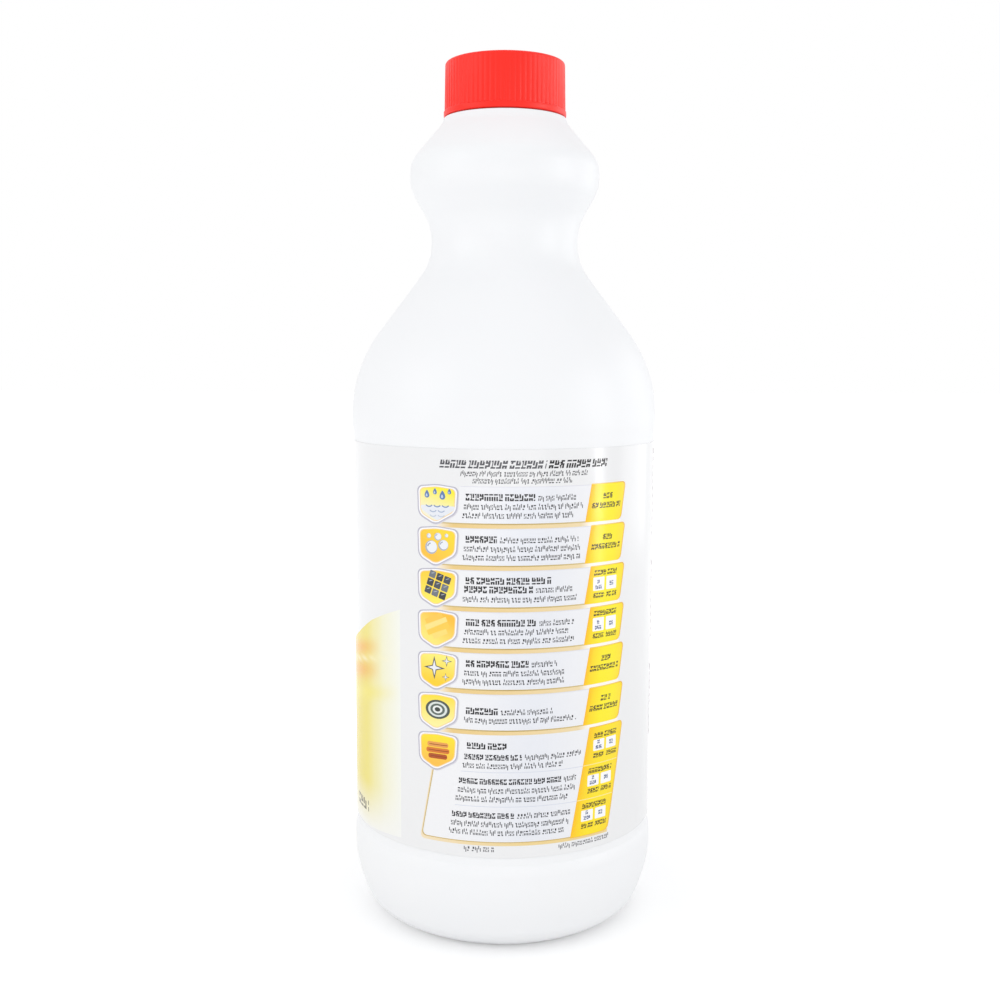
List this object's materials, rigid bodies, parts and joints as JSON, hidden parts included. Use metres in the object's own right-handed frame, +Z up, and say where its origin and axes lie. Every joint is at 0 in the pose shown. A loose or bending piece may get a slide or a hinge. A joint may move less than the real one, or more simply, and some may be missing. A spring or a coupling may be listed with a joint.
{
  "type": "bleach bottle",
  "caption": "Round blown bottle with a grip waist, a recessed wraparound label and a ribbed screw cap with a foam wad",
  "frame": {"origin": "middle of the base, on the plane of the ring that the bottle stands on", "axes": "+Z up along the bottle and the cap's thread, -Y towards the front of the label, +X to its right"},
  "size_m": [0.095, 0.095, 0.2646],
  "materials": {
    "white_bottle": "opaque white blown polyethylene, softly glossy",
    "printed_label": "glossy white film with printed colour fields",
    "foam_wad": "fine closed-cell polyethylene foam",
    "red_cap": "glossy injection-moulded red plastic"
  },
  "bodies": {
    "bottle": {"bottle": "white_bottle", "label": "printed_label"},
    "wad": {"wad": "foam_wad"},
    "cap": {"cap": "red_cap"}
  },
  "joints": [
    {"name": "cap_lift", "type": "slide", "parent": "bottle", "child": "wad", "axis": [0, 0, 1], "range_m": [0, 0.01692]},
    {"name": "cap_turn", "type": "hinge", "parent": "wad", "child": "cap", "pos_m": [0, 0, 0.25], "axis": [0, 0, 1], "range_deg": [0, 1440]}
  ],
  "couplings": [
    {"joint": "cap_lift", "follows": "cap_turn", "m_per_rad": 0.00067322}
  ]
}
